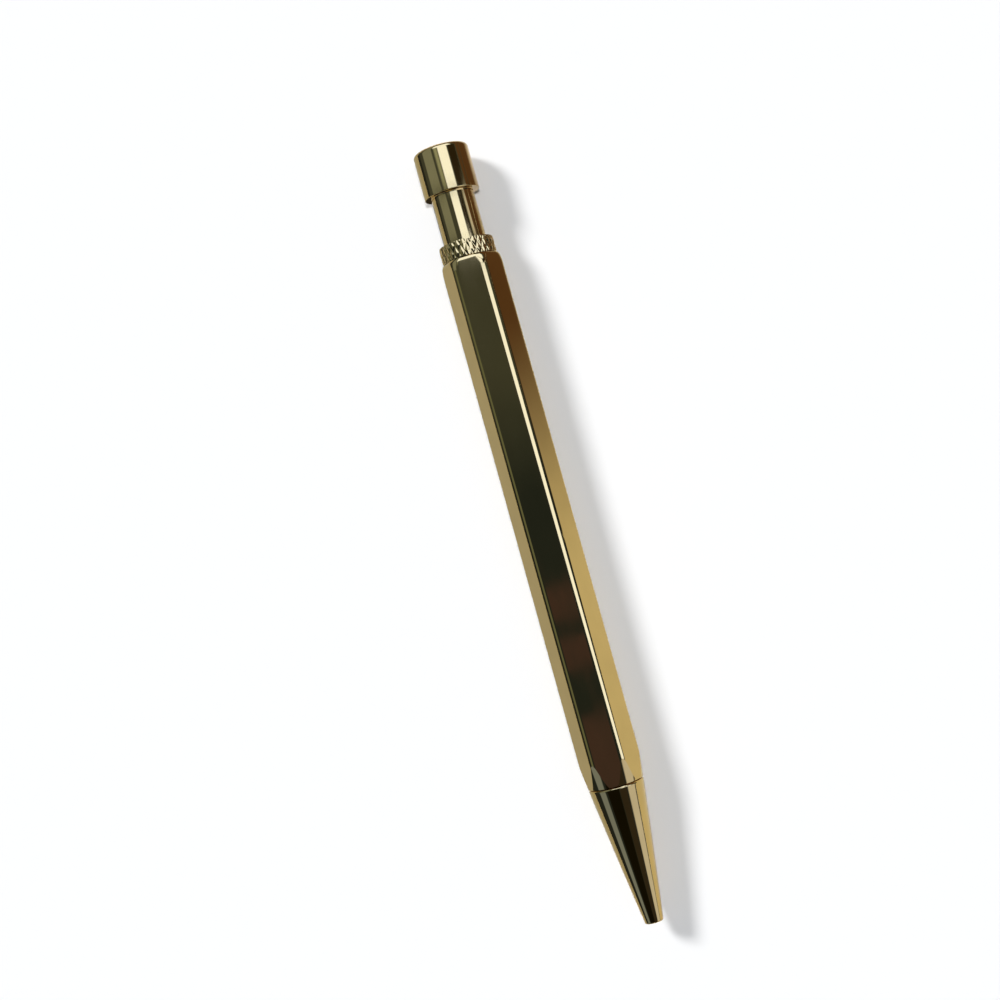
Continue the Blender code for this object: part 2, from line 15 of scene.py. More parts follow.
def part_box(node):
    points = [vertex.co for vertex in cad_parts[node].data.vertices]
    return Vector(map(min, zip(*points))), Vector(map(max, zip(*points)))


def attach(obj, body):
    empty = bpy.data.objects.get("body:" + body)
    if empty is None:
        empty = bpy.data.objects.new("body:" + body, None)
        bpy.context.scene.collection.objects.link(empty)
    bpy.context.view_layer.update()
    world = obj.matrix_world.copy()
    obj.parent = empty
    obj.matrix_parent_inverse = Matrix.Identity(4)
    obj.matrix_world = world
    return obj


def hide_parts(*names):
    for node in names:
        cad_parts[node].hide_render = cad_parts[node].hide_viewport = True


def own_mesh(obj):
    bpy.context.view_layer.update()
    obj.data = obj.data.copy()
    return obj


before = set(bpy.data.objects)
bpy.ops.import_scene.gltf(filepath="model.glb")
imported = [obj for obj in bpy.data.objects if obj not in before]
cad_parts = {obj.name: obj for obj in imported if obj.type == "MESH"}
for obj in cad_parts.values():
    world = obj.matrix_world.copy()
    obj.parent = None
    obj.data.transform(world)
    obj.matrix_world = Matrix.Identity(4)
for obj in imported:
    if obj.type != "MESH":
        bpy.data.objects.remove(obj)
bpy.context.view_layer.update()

MM = 0.001

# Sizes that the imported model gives
MOUTH_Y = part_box("nose_cone")[0].y
AXIS_Z = (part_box("push_button")[0].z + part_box("push_button")[1].z) / 2


def span(node):
    """Lowest and highest height of a node, from the mouth of the nose cone."""
    low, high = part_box(node)
    return low.y - MOUTH_Y, high.y - MOUTH_Y


def reach(node):
    """Outer radius of a round node."""
    low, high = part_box(node)
    return (high.x - low.x) / 2


BARREL_LOW, BARREL_TOP = span("barrel")
THREAD_TOP = span("nose_cone")[1]
COLLAR_TUBE_LOW, COLLAR_TOP = span("knurled_collar")
STEM_LOW, PEN_TOP = span("push_button")
SLEEVE_LOW = span("cam_sleeve")[0]
SPRING_LOW, SPRING_TOP = span("return_spring")
POINT_LOW, POINT_TOP = span("refill_point")
BALL_LOW, BALL_TOP = span("writing_ball")
FLAT_RADIUS = (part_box("barrel")[1].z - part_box("barrel")[0].z) / 2
HEAD_RADIUS = reach("push_button")
COLLAR_RADIUS = reach("knurled_collar")
SLEEVE_RADIUS = reach("cam_sleeve")
POINT_RADIUS = reach("refill_point")
BALL_RADIUS = reach("writing_ball")
SPRING_REACH = reach("return_spring")

# Sizes of the outside
SEAM = 0.1 * MM
EDGE_BREAK = 0.12 * MM
CORNER_RADIUS = 1.4 * MM
FRONT_TAPER = 0.11
FRONT_END_LIFT = 0.06 * MM
FRONT_EDGE = 0.05 * MM
REAR_ROUND = 1.2 * MM
REAR_ROUND_ANGLE = math.radians(30)
REAR_BLEND = 2.0 * MM
REAR_CORNER_GROWTH = 1.6 * MM
NOSE_TIP_RADIUS = 1.62 * MM
NOSE_BULGE = 0.045 * MM
NOSE_EDGE = 0.3 * MM
NOSE_TIP_EDGE = 0.7 * NOSE_EDGE
SHOULDER_EDGE = 0.34 * MM
MOUTH_RADIUS = 1.3 * MM
MOUTH_EDGE = 0.08 * MM
NECK_RADIUS = 3.75 * MM
NECK_LENGTH = 8.7 * MM
NECK_FILLET = 0.12 * MM
HEAD_EDGE = 0.7 * MM
HEAD_LOWER_EDGE = 0.15 * MM
KNURL_COUNT = 30
KNURL_ROWS = 2
KNURL_DEPTH = 0.11 * MM
KNURL_LAND = 0.15
KNURL_MARGIN = 0.15 * MM

# Sizes of the inside
BARREL_WALL = 0.6 * MM
SLEEVE_SEAT_STEP = 0.3 * MM
COLLAR_TUBE_WALL = 0.25 * MM
BUTTON_BORE = 2.7 * MM
BUTTON_BORE_END = 122.15 * MM
MOUTH_TOP = 3.15 * MM
NOSE_TUBE_BORE = 1.65 * MM
SPRING_BORE = 2.45 * MM
SPRING_SEAT = 12.0 * MM
THREAD_RADIUS = 3.05 * MM
THREAD_PITCH = 0.6 * MM
THREAD_DEPTH = 0.28 * MM
WIRE_RADIUS = 0.18 * MM
SPRING_TURNS = 11
SPRING_END_PITCH = 0.81 * MM
POINT_CONE_TOP = 4.2 * MM
POINT_SHOULDER = 6.4 * MM
POINT_SHOULDER_RISE = 0.2 * MM
POINT_CONE_SHARE = 0.86
POINT_CONE_FILLET = 0.3 * MM
POINT_EDGE = 0.06 * MM
POINT_LIP_WALL = 0.1 * MM
POINT_LIP_EDGE = 0.03 * MM
BALL_PLAY = 0.05 * MM
INK_CHANNEL_RADIUS = 0.25 * MM

# Fineness of the meshes
ROUND_STEPS = 192
FLAT_STEPS = 14
CORNER_STEPS = 24
ROUNDING_STEPS = 18
FILLET_STEPS = 10
NOSE_STEPS = 24
KNURL_STEPS = 24
THREAD_STEPS = 8
COIL_STEPS = 40
WIRE_SIDES = 14
BALL_SUBDIVISIONS = 4
MERGE = 0.0001 * MM

# Angles between faces above which an edge is drawn sharp
SHARP_ANGLE = math.radians(3.5)
NOSE_SHARP_ANGLE = math.radians(8)
BUTTON_SHARP_ANGLE = math.radians(15)
POINT_SHARP_ANGLE = math.radians(20)
KNURL_SHARP_ANGLE = math.radians(25)
THREAD_SHARP_ANGLE = math.radians(35)
WIRE_SHARP_ANGLE = math.radians(40)

# Places along the pen that follow from the sizes above
NOSE_SHOULDER = BARREL_LOW - SEAM
COLLAR_LOW = BARREL_TOP + SEAM
HEAD_LOW = COLLAR_TOP + NECK_LENGTH
JOINT_RADIUS = FLAT_RADIUS + FRONT_END_LIFT
SLEEVE_BORE = FLAT_RADIUS - BARREL_WALL
BARREL_BORE = SLEEVE_BORE - SLEEVE_SEAT_STEP
COLLAR_BORE = SLEEVE_RADIUS - COLLAR_TUBE_WALL

# Colours, as linear light
GOLD = (0.58, 0.39, 0.148)
BARE_BRASS = (0.58, 0.42, 0.18)
STEEL = (0.55, 0.55, 0.56)
POINT_BRASS = (0.66, 0.53, 0.31)
CARBIDE = (0.30, 0.30, 0.32)
PALE_PLASTIC = (0.70, 0.70, 0.67)
GREY_PLASTIC = (0.55, 0.55, 0.53)
BLACK_PLASTIC = (0.03, 0.03, 0.033)
INK = (0.008, 0.010, 0.030)
GREASE = (0.62, 0.55, 0.34)
FLOOR_WHITE = (0.92, 0.92, 0.92)

# Marks on the metals, and the skin of the plastics
CLOUD_SCALE = 180.0
SMEAR_SCALE = 320.0
SMEAR_STRETCH = 0.3
METAL_ROUGHNESS_SHARES = (0.6, 1.5)
GRAIN_BUMP = 0.15
MOULD_CLOUD_SCALE = 400.0
MOULD_DARK_SHARE = 0.9
MOULD_ROUGHNESS_SHARES = (0.85, 1.15)
MOULD_GRAIN_SCALE = 6000.0
MOULD_GRAIN_DEPTH = 0.01 * MM
MOULD_GRAIN_BUMP = 0.2

# Grain of the metals: scale, stretch (under 1 for lines along the pen, over 1 for lines round it) and depth
POLISHED_ALONG = (9000.0, 0.02, 0.0006 * MM)
DRAWN_ALONG = (3000.0, 0.05, 0.003 * MM)
DRAWN_WIRE = (5000.0, 1.0, 0.002 * MM)
GROUND = (6000.0, 1.0, 0.001 * MM)
TURNED = (3000.0, 4.0, 0.004 * MM)
FINE_TURNED = (4000.0, 6.0, 0.002 * MM)


def new_material(name):
    """A material with a bare Principled shader, its node tree and the shader."""
    material = bpy.data.materials.new(name)
    material.use_nodes = True
    tree = material.node_tree
    return material, tree, tree.nodes["Principled BSDF"]


def add_node(tree, kind, **settings):
    """A new shader node with some of its settings."""
    node = tree.nodes.new(kind)
    for key, value in settings.items():
        setattr(node, key, value)
    return node


def noise(tree, scale, detail=3.0, stretch=1.0):
    """Noise in the pen's own coordinates, drawn out along the pen by a small stretch."""
    place = add_node(tree, "ShaderNodeTexCoord")
    mapping = add_node(tree, "ShaderNodeMapping")
    mapping.inputs["Scale"].default_value = (1.0, stretch, 1.0)
    texture = add_node(tree, "ShaderNodeTexNoise")
    texture.inputs["Scale"].default_value = scale
    texture.inputs["Detail"].default_value = detail
    tree.links.new(place.outputs["Object"], mapping.inputs["Vector"])
    tree.links.new(mapping.outputs["Vector"], texture.inputs["Vector"])
    return texture.outputs["Fac"]


def spread(tree, value, low, high, start=0.35, end=0.65):
    """Maps a value onto a range; noise lies mostly between the start and end given here."""
    node = add_node(tree, "ShaderNodeMapRange")
    node.inputs["From Min"].default_value = start
    node.inputs["From Max"].default_value = end
    node.inputs["To Min"].default_value = low
    node.inputs["To Max"].default_value = high
    tree.links.new(value, node.inputs["Value"])
    return node.outputs["Result"]


def shade(tree, value, dark, light):
    """A colour between two colours."""
    node = add_node(tree, "ShaderNodeMix", data_type="RGBA")
    node.inputs["A"].default_value = (*dark, 1.0)
    node.inputs["B"].default_value = (*light, 1.0)
    tree.links.new(value, node.inputs["Factor"])
    return node.outputs["Result"]


def bump(tree, shader, height, strength, distance):
    """Makes a shader's surface rise and fall with a value."""
    node = add_node(tree, "ShaderNodeBump")
    node.inputs["Strength"].default_value = strength
    node.inputs["Distance"].default_value = distance
    tree.links.new(height, node.inputs["Height"])
    tree.links.new(node.outputs["Normal"], shader.inputs["Normal"])


def darkened(colour, share):
    """A share of a colour's light."""
    return tuple(part * share for part in colour)


def metal(name, colour, roughness, variation, grain):
    """Metal with cloudy handling marks, and a fine grain of polishing or turning lines."""
    scale, stretch, depth = grain
    smooth, rough = (roughness * share for share in METAL_ROUGHNESS_SHARES)
    material, tree, shader = new_material(name)
    shader.inputs["Metallic"].default_value = 1.0
    clouds = noise(tree, CLOUD_SCALE, detail=4.0)
    tint = shade(tree, spread(tree, clouds, 0.0, 1.0), darkened(colour, 1 - variation), colour)
    tree.links.new(tint, shader.inputs["Base Color"])
    smears = noise(tree, SMEAR_SCALE, detail=5.0, stretch=SMEAR_STRETCH)
    tree.links.new(spread(tree, smears, smooth, rough), shader.inputs["Roughness"])
    lines = noise(tree, scale, detail=2.0, stretch=stretch)
    bump(tree, shader, lines, GRAIN_BUMP, depth)
    return material


def gold_plate(name):
    """Mirror-bright plating with faint polishing lines along the pen."""
    return metal(name, GOLD, roughness=0.055, variation=0.06, grain=POLISHED_ALONG)


def moulded(name, colour, roughness):
    """Moulded plastic with a fine eroded skin."""
    smooth, rough = (roughness * share for share in MOULD_ROUGHNESS_SHARES)
    material, tree, shader = new_material(name)
    clouds = noise(tree, MOULD_CLOUD_SCALE)
    tint = shade(tree, spread(tree, clouds, 0.0, 1.0), darkened(colour, MOULD_DARK_SHARE), colour)
    tree.links.new(tint, shader.inputs["Base Color"])
    tree.links.new(spread(tree, clouds, smooth, rough), shader.inputs["Roughness"])
    grain = noise(tree, MOULD_GRAIN_SCALE, detail=2.0)
    bump(tree, shader, grain, MOULD_GRAIN_BUMP, MOULD_GRAIN_DEPTH)
    return material


def filleted(corners):
    """Rounds the corners of a closed profile of (radius, height, fillet)."""
    points = []
    for before, corner, after in zip(corners[-1:] + corners[:-1], corners, corners[1:] + corners[:1]):
        tip = Vector(corner[:2])
        fillet = corner[2]
        if fillet == 0:
            points.append(corner[:2])
            continue
        back = (Vector(before[:2]) - tip).normalized()
        ahead = (Vector(after[:2]) - tip).normalized()
        half = back.angle(ahead) / 2
        centre = tip + (back + ahead).normalized() * fillet / math.sin(half)
        start = tip + back * fillet / math.tan(half) - centre
        end = tip + ahead * fillet / math.tan(half) - centre
        for step in range(FILLET_STEPS + 1):
            spoke = start.normalized().slerp(end.normalized(), step / FILLET_STEPS)
            points.append(tuple(centre + spoke * fillet))
    return points


def even_turns(steps):
    """Evenly spaced angles once round."""
    return np.linspace(0.0, 2 * np.pi, steps, endpoint=False)


def skin(name, rings, turns):
    """A closed mesh through rings of (radius, height); either may vary round the ring.

    A ring may bring its own angles as a third member.
    """
    points = []
    for radius, height, *own_turns in rings:
        angle = own_turns[0] if own_turns else turns
        radius = np.broadcast_to(radius, angle.shape)
        height = np.broadcast_to(height, angle.shape)
        ring = (radius * np.cos(angle), MOUTH_Y + height, AXIS_Z + radius * np.sin(angle))
        points.append(np.stack(ring, axis=1))
    count = len(turns)
    faces = []
    for ring in range(len(rings)):
        after = (ring + 1) % len(rings)
        for i in range(count):
            j = (i + 1) % count
            faces.append((ring * count + i, ring * count + j, after * count + j, after * count + i))
    mesh = bpy.data.meshes.new(name)
    mesh.from_pydata(np.concatenate(points), [], faces)
    return mesh


def add_piece(mesh, material, body, slot, *nodes, sharp=SHARP_ANGLE):
    """Cleans a mesh, and makes it a piece that rides on a body and stands for CAD nodes."""
    shape = bmesh.new()
    shape.from_mesh(mesh)
    bmesh.ops.remove_doubles(shape, verts=shape.verts, dist=MERGE)
    bmesh.ops.dissolve_degenerate(shape, edges=shape.edges, dist=MERGE)
    bmesh.ops.recalc_face_normals(shape, faces=shape.faces)
    shape.to_mesh(mesh)
    shape.free()
    mesh.shade_smooth()
    mesh.set_sharp_from_angle(angle=sharp)
    mesh.materials.append(material)
    piece = bpy.data.objects.new(mesh.name, mesh)
    bpy.context.scene.collection.objects.link(piece)
    weighted = piece.modifiers.new("large_faces_lead", "WEIGHTED_NORMAL")
    weighted.keep_sharp = True
    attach(piece, body)
    if nodes:
        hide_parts(*nodes)
    return piece


def hexagon_outline(corner_radius, inset=0.0):
    """Radius and angle of points round a hexagon with round corners and flats facing up and down."""
    core = FLAT_RADIUS - corner_radius
    half_flat = core * math.tan(math.radians(30))
    places = []
    for side in range(6):
        facing = math.radians(90 + 60 * side)
        normal = np.array((math.cos(facing), math.sin(facing)))
        along = np.array((-normal[1], normal[0]))
        for share in np.linspace(-1, 1, FLAT_STEPS, endpoint=False):
            places.append(normal * (FLAT_RADIUS - inset) + along * half_flat * share)
        centre = normal * core + along * half_flat
        for turn in np.radians(np.linspace(0, 60, CORNER_STEPS, endpoint=False)):
            spoke = normal * math.cos(turn) + along * math.sin(turn)
            places.append(centre + (corner_radius - inset) * spoke)
    places = np.array(places)
    return np.hypot(*places.T), np.arctan2(places[:, 1], places[:, 0])


def rear_rounding():
    """Rings up the barrel's rear end, where the corners grow rounder and the outline draws in."""
    rise = REAR_ROUND * math.sin(REAR_ROUND_ANGLE)
    stations = [(depth, 0.0) for depth in np.linspace(REAR_BLEND, rise, ROUNDING_STEPS, endpoint=False)]
    for turn in np.linspace(0, REAR_ROUND_ANGLE, ROUNDING_STEPS + 1):
        stations.append((rise - REAR_ROUND * math.sin(turn), REAR_ROUND * (1 - math.cos(turn))))
    rings = []
    for depth, inset in stations:
        corner_radius = CORNER_RADIUS + REAR_CORNER_GROWTH * (1 - depth / REAR_BLEND) ** 2
        radius, turns = hexagon_outline(corner_radius, inset)
        rings.append((radius, BARREL_TOP - depth, turns))
    return rings


def make_barrel():
    """Hexagonal bar, rounded at its rear end and turned down in front so that the flats end in tongues."""
    radius, turns = hexagon_outline(CORNER_RADIUS)
    front = np.minimum(radius, JOINT_RADIUS)
    rings = [
        (front - FRONT_EDGE, BARREL_LOW),
        (front, BARREL_LOW + FRONT_EDGE),
        (radius, BARREL_LOW + FRONT_EDGE + (radius - front) / FRONT_TAPER),
    ]
    rings += rear_rounding()
    rings += [
        (SLEEVE_BORE, BARREL_TOP),
        (SLEEVE_BORE, SLEEVE_LOW - SEAM),
        (BARREL_BORE, SLEEVE_LOW - SEAM),
        (BARREL_BORE, BARREL_LOW),
    ]
    mesh = skin("barrel_shell", rings, turns)
    add_piece(mesh, gold_plate("barrel_plating"), "pen_body", "barrel_gold", "barrel")


def nose_radius(height):
    """Radius of the nose cone's side, which bulges a little between its ends."""
    part = height / NOSE_SHOULDER
    straight = NOSE_TIP_RADIUS + (JOINT_RADIUS - NOSE_TIP_RADIUS) * part
    return straight + 4 * NOSE_BULGE * part * (1 - part)


def make_nose_cone():
    """Turned cone with a rounded mouth, up to the shoulder that meets the barrel."""
    side = np.linspace(NOSE_EDGE * 2, NOSE_SHOULDER - SHOULDER_EDGE * 2, NOSE_STEPS)
    corners = [
        (MOUTH_RADIUS, MOUTH_TOP, 0),
        (MOUTH_RADIUS, 0.0, MOUTH_EDGE),
        (NOSE_TIP_RADIUS, 0.0, NOSE_TIP_EDGE),
    ]
    corners += [(nose_radius(height), height, 0) for height in side]
    corners += [
        (JOINT_RADIUS, NOSE_SHOULDER, SHOULDER_EDGE),
        (THREAD_RADIUS, NOSE_SHOULDER, 0),
        (SPRING_BORE, NOSE_SHOULDER, 0),
        (SPRING_BORE, SPRING_SEAT, 0),
        (NOSE_TUBE_BORE, SPRING_SEAT, 0),
        (NOSE_TUBE_BORE, MOUTH_TOP, 0),
    ]
    mesh = skin("nose_shell", filleted(corners), even_turns(ROUND_STEPS))
    plating = gold_plate("nose_plating")
    add_piece(mesh, plating, "nose", "nose_gold", "nose_cone", sharp=NOSE_SHARP_ANGLE)


def make_nose_thread():
    """Spigot with a cut thread, which shows when the nose cone is unscrewed."""
    turns = even_turns(ROUND_STEPS // 2)
    runout = THREAD_PITCH
    rings = [(SPRING_BORE, NOSE_SHOULDER)]
    for height in np.arange(NOSE_SHOULDER, THREAD_TOP, THREAD_PITCH / THREAD_STEPS):
        phase = ((height - NOSE_SHOULDER) / THREAD_PITCH - turns / (2 * np.pi)) % 1.0
        groove = 1 - np.abs(2 * phase - 1)
        fade = min(1.0, (height - NOSE_SHOULDER) / runout, (THREAD_TOP - height) / runout)
        rings.append((THREAD_RADIUS - THREAD_DEPTH * groove * fade, height))
    rings.append((THREAD_RADIUS - THREAD_DEPTH / 2, THREAD_TOP))
    rings.append((SPRING_BORE, THREAD_TOP))
    mesh = skin("nose_thread", rings, turns)
    brass = metal("thread_brass", BARE_BRASS, roughness=0.22, variation=0.15, grain=TURNED)
    add_piece(mesh, brass, "nose", "nose_gold", sharp=THREAD_SHARP_ANGLE)


def knurl_depth(turns, share):
    """Depth of crossed grooves with soft walls, from 0 on the tops of the diamonds to 1 in the grooves.

    The share is of the knurl's height.
    """
    across = turns * KNURL_COUNT / (2 * np.pi)
    up = (share * KNURL_ROWS + 0.5) / 2
    lean_right = np.abs(2 * ((across + up) % 1.0) - 1)
    lean_left = np.abs(2 * ((across - up) % 1.0) - 1)
    wall = np.clip((np.maximum(lean_right, lean_left) - KNURL_LAND) / (1 - KNURL_LAND), 0, 1)
    return wall * wall * (3 - 2 * wall)


def make_knurled_collar():
    """Ring with a diamond knurl, on the tube that is screwed into the barrel."""
    turns = even_turns(KNURL_COUNT * KNURL_STEPS)
    rings = [(COLLAR_BORE, COLLAR_TUBE_LOW), (SLEEVE_RADIUS, COLLAR_TUBE_LOW), (SLEEVE_RADIUS, COLLAR_LOW)]
    rings.append((COLLAR_RADIUS - KNURL_DEPTH, COLLAR_LOW))
    low = COLLAR_LOW + KNURL_MARGIN
    high = COLLAR_TOP - KNURL_MARGIN
    for share in np.linspace(0, 1, KNURL_ROWS * KNURL_STEPS // 2 + 1):
        depth = KNURL_DEPTH * knurl_depth(turns, share)
        rings.append((COLLAR_RADIUS - depth, low + (high - low) * share))
    rings.append((COLLAR_RADIUS - KNURL_DEPTH, COLLAR_TOP))
    rings.append((COLLAR_BORE, COLLAR_TOP))
    mesh = skin("collar_shell", rings, turns)
    plating = gold_plate("collar_plating")
    add_piece(mesh, plating, "pen_body", "collar_gold", "knurled_collar", sharp=KNURL_SHARP_ANGLE)


def make_push_button():
    """Round head on a straight neck, bored from below."""
    corners = [
        (BUTTON_BORE, STEM_LOW, 0),
        (NECK_RADIUS, STEM_LOW, EDGE_BREAK),
        (NECK_RADIUS, HEAD_LOW, NECK_FILLET),
        (HEAD_RADIUS, HEAD_LOW, HEAD_LOWER_EDGE),
        (HEAD_RADIUS, PEN_TOP, HEAD_EDGE),
        (0.0, PEN_TOP, 0),
        (0.0, BUTTON_BORE_END, 0),
        (BUTTON_BORE, BUTTON_BORE_END, 0),
    ]
    mesh = skin("button_shell", filleted(corners), even_turns(ROUND_STEPS))
    plating = gold_plate("button_plating")
    add_piece(mesh, plating, "button", "button_gold", "push_button", sharp=BUTTON_SHARP_ANGLE)


def spring_line():
    """Centre line of the wire: closer turns at both ends, with the coil's angle at each point."""
    radius = SPRING_REACH - WIRE_RADIUS
    low = SPRING_LOW + WIRE_RADIUS
    high = SPRING_TOP - WIRE_RADIUS
    body_pitch = (high - low - 2 * SPRING_END_PITCH) / (SPRING_TURNS - 2)
    turn = np.linspace(0, SPRING_TURNS, SPRING_TURNS * COIL_STEPS + 1)
    bends = [0, 1, SPRING_TURNS - 1, SPRING_TURNS]
    heights = np.cumsum([low, SPRING_END_PITCH, body_pitch * (SPRING_TURNS - 2), SPRING_END_PITCH])
    angle = -2 * np.pi * turn
    height = np.interp(turn, bends, heights)
    return radius, angle, height


def make_return_spring():
    """Coil spring between the nose cone's inner step and the refill's ears."""
    radius, angle, height = spring_line()
    around = np.linspace(0, 2 * np.pi, WIRE_SIDES, endpoint=False)
    vertices = []
    for turn, level in zip(angle, height):
        for part in around:
            out = radius + WIRE_RADIUS * math.cos(part)
            up = MOUTH_Y + level + WIRE_RADIUS * math.sin(part)
            vertices.append((out * math.cos(turn), up, AXIS_Z + out * math.sin(turn)))
    faces = []
    for step in range(len(angle) - 1):
        for side in range(WIRE_SIDES):
            beside = (side + 1) % WIRE_SIDES
            base = step * WIRE_SIDES
            faces.append((base + side, base + beside, base + WIRE_SIDES + beside, base + WIRE_SIDES + side))
    faces.append(tuple(range(WIRE_SIDES)))
    faces.append(tuple(range(len(vertices) - WIRE_SIDES, len(vertices))))
    mesh = bpy.data.meshes.new("spring_coil")
    mesh.from_pydata(vertices, [], faces)
    steel = metal("spring_wire", STEEL, roughness=0.2, variation=0.2, grain=DRAWN_WIRE)
    piece = add_piece(mesh, steel, "nose", "spring_steel", "return_spring", sharp=WIRE_SHARP_ANGLE)
    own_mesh(piece)


def make_refill_point():
    """Turned point: a shank, a shoulder and a slim cone that holds the ball."""
    socket = BALL_RADIUS + BALL_PLAY
    socket_end = BALL_TOP + BALL_PLAY
    shoulder_radius = POINT_RADIUS * POINT_CONE_SHARE
    corners = [
        (socket, POINT_LOW, 0),
        (socket + POINT_LIP_WALL, POINT_LOW, POINT_LIP_EDGE),
        (shoulder_radius, POINT_CONE_TOP, POINT_CONE_FILLET),
        (shoulder_radius, POINT_SHOULDER, POINT_EDGE),
        (POINT_RADIUS, POINT_SHOULDER + POINT_SHOULDER_RISE, POINT_EDGE),
        (POINT_RADIUS, POINT_TOP, 0),
        (INK_CHANNEL_RADIUS, POINT_TOP, 0),
        (INK_CHANNEL_RADIUS, socket_end, 0),
        (socket, socket_end, 0),
    ]
    mesh = skin("point_shell", filleted(corners), even_turns(ROUND_STEPS // 2))
    brass = metal("point_metal", POINT_BRASS, roughness=0.16, variation=0.12, grain=FINE_TURNED)
    add_piece(mesh, brass, "refill", "point_brass", "refill_point", sharp=POINT_SHARP_ANGLE)


def make_writing_ball():
    """The ball in its socket, with a film of ink on it."""
    shape = bmesh.new()
    bmesh.ops.create_icosphere(shape, subdivisions=BALL_SUBDIVISIONS, radius=BALL_RADIUS)
    centre = (0.0, MOUTH_Y + (BALL_LOW + BALL_TOP) / 2, AXIS_Z)
    bmesh.ops.translate(shape, verts=shape.verts, vec=centre)
    mesh = bpy.data.meshes.new("ball_sphere")
    shape.to_mesh(mesh)
    shape.free()
    carbide = metal("ball_surface", CARBIDE, roughness=0.12, variation=0.6, grain=GROUND)
    add_piece(mesh, carbide, "ball", "ball_carbide", "writing_ball")


def dress_inner_nodes():
    """Materials of the pieces inside the pen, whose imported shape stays."""
    materials = {
        "front_bush": metal("bush_metal", BARE_BRASS, roughness=0.25, variation=0.15, grain=TURNED),
        "refill_tube": metal("tube_metal", STEEL, roughness=0.2, variation=0.12, grain=DRAWN_ALONG),
        "cam_sleeve": moulded("sleeve_skin", PALE_PLASTIC, roughness=0.45),
        "plunger": moulded("plunger_skin", GREY_PLASTIC, roughness=0.45),
        "rotor": moulded("rotor_skin", BLACK_PLASTIC, roughness=0.4),
        "ink_column": moulded("ink_skin", INK, roughness=0.12),
        "ink_follower": moulded("grease_skin", GREASE, roughness=0.3),
    }
    for node, material in materials.items():
        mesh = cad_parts[node].data
        mesh.materials.clear()
        mesh.materials.append(material)


# Studio: sizes in metres, and angles in degrees
FLOOR_REACH = 3.0
DOME_RADIUS = 1.4
DOME_SEGMENTS = 48
CARD_DISTANCE = 1.0
CARD_STEPS = 12
FLOOR_CARD_HEIGHT = 0.2 * MM
KEY_ELEVATION = 38.3
KEY_SLANT = 48.7
KEY_SOFTNESS = 13
KEY_STRENGTH = 2.38
TOP_TRAVEL = (-0.124, 0.035, -0.992)
TOP_SOFTNESS = 6
TOP_STRENGTH = 1.48
FILL_STRENGTH = 0.165
FILL_COLOUR = (0.86, 0.92, 1.0)
DOME_DARK = (0.025, 0.039, 0.054)
DOME_DIM = (0.078, 0.104, 0.119)
DOME_DIM_START = 0.06
DOME_DIM_END = 0.19

# Light of the cards, as linear colours: glowing cards seen only in the plating's reflections, which paint
# its highlights, its dark and coloured bands, and its reflection of the floor and of the shade under the
# head
DAYLIGHT = (1.7, 2.25, 3.9)
PALE_LIGHT = (0.85, 1.0, 1.4)
GREY_LIGHT = (0.31, 0.41, 0.50)
OLIVE_LIGHT = (0.20, 0.27, 0.25)
HALF_LIGHT = (0.45, 0.60, 0.65)
SLATE_LIGHT = (0.28, 0.40, 0.66)
BROWN_LIGHT = (0.078, 0.059, 0.078)
# Red-brown for painted brown reflections on the plating's right side
RED_BROWN_LIGHT = (0.138, 0.082, 0.047)
# Painted reflections of the floor beside the pen, greyer on the left and warmer on the right than the lit
# floor; the warm pale colour also serves the panel ahead of the pen
FLOOR_REFLECTION_GREY_LIGHT = (0.565, 0.61, 0.555)
WARM_PALE_LIGHT = (0.87, 0.91, 0.79)
DARK_LIGHT = (0.03, 0.04, 0.05)
# Dark brown for painted dark bands and for the painted shade under the head
COAL_LIGHT = (0.035, 0.03, 0.02)
# Dark grey for a painted dark band on the nose's right side
DARK_GREY_LIGHT = (0.045, 0.043, 0.04)
NIGHT_LIGHT = (0.01, 0.01, 0.005)


def only_in_reflections(card):
    """Keeps a card out of the camera's sight and out of the diffuse light."""
    card.visible_camera = False
    card.visible_diffuse = False
    card.visible_shadow = False
    card.visible_volume_scatter = False
    card.visible_transmission = False


def make_floor():
    """A plain pale floor."""
    mesh = bpy.data.meshes.new("floor")
    shape = bmesh.new()
    bmesh.ops.create_grid(shape, x_segments=1, y_segments=1, size=FLOOR_REACH)
    shape.to_mesh(mesh)
    shape.free()
    material, tree, shader = new_material("floor_paper")
    shader.inputs["Base Color"].default_value = (*FLOOR_WHITE, 1.0)
    shader.inputs["Roughness"].default_value = 1.0
    shader.inputs["Specular IOR Level"].default_value = 0.0
    mesh.materials.append(material)
    floor = bpy.data.objects.new("floor", mesh)
    bpy.context.scene.collection.objects.link(floor)


def glow_material(name):
    """An emission material, its node tree, the emission node and the output."""
    material = bpy.data.materials.new(name)
    material.use_nodes = True
    tree = material.node_tree
    tree.nodes.clear()
    output = add_node(tree, "ShaderNodeOutputMaterial")
    glow = add_node(tree, "ShaderNodeEmission")
    return material, tree, glow, output


def make_dome():
    """The dark room that the plating mirrors, a little lighter towards the button's end."""
    shape = bmesh.new()
    rows = DOME_SEGMENTS // 2
    bmesh.ops.create_uvsphere(shape, u_segments=DOME_SEGMENTS, v_segments=rows, radius=DOME_RADIUS)
    mesh = bpy.data.meshes.new("dome")
    shape.to_mesh(mesh)
    shape.free()
    material, tree, glow, output = glow_material("dome_glow")
    place = add_node(tree, "ShaderNodeTexCoord")
    parts = add_node(tree, "ShaderNodeSeparateXYZ")
    tree.links.new(place.outputs["Object"], parts.inputs["Vector"])
    rise = spread(tree, parts.outputs["Y"], 0.0, 1.0, DOME_DIM_START, DOME_DIM_END)
    tree.links.new(shade(tree, rise, DOME_DARK, DOME_DIM), glow.inputs["Color"])
    tree.links.new(glow.outputs["Emission"], output.inputs["Surface"])
    mesh.materials.append(material)
    dome = bpy.data.objects.new("dome", mesh)
    bpy.context.scene.collection.objects.link(dome)
    only_in_reflections(dome)


